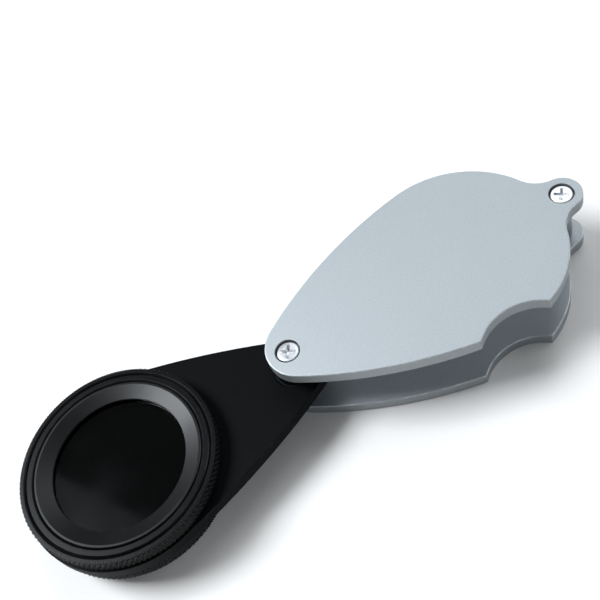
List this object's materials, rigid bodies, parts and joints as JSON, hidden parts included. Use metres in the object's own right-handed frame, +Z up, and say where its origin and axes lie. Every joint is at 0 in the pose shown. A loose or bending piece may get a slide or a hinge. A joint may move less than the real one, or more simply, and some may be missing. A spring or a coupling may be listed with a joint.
{
  "type": "folding gem colour filter viewer",
  "caption": "Pocket folding gem viewer: a black arm with a knurled round filter head turns on a pivot between two pale metal covers with a thumb notch and a rear post.",
  "frame": {"origin": "centre of the footprint of the opened viewer, on the outer face of the bottom cover", "axes": "+X from the lens head towards the rear post, +Z up through the covers, thumb notch on the -Y side"},
  "size_m": [0.0916, 0.03, 0.0112],
  "materials": {
    "case_metal": "bead-blasted, silver anodised, matt",
    "post_metal": "turned",
    "turned_steel": "turned",
    "washer_steel": "stamped, bright",
    "screw_plate": "bright zinc plate",
    "arm_black": "black, fine matt texture",
    "ring_black": "black anodised, satin",
    "hood_black": "black anodised, turned satin",
    "bush_brass": "turned",
    "cover_glass": "polished, clear",
    "filter_sheet": "very dark red and green passing filter",
    "gasket_rubber": "matt"
  },
  "bodies": {
    "case": {"top_cover": "case_metal", "bottom_cover": "case_metal", "pivot_sleeve": "turned_steel", "pivot_screw_top": "screw_plate", "pivot_screw_bottom": "screw_plate", "pivot_washer_top": "washer_steel", "pivot_washer_bottom": "washer_steel", "end_post": "post_metal", "end_screw_top": "screw_plate", "end_screw_bottom": "screw_plate"},
    "arm": {"lens_arm": "arm_black", "pivot_bush": "bush_brass", "lens_cell": "ring_black", "upper_knurled_ring": "ring_black", "lower_knurled_ring": "ring_black", "upper_hood_ring": "hood_black", "lower_hood_ring": "hood_black", "front_glass": "cover_glass", "rear_glass": "cover_glass", "colour_filter": "filter_sheet", "upper_gasket": "gasket_rubber", "lower_gasket": "gasket_rubber"}
  },
  "joints": [
    {"name": "lens_swing", "type": "hinge", "parent": "case", "child": "arm", "pos_m": [-0.0025, 0, 0.0056], "axis": [0, 0, 1], "continuous": true}
  ]
}
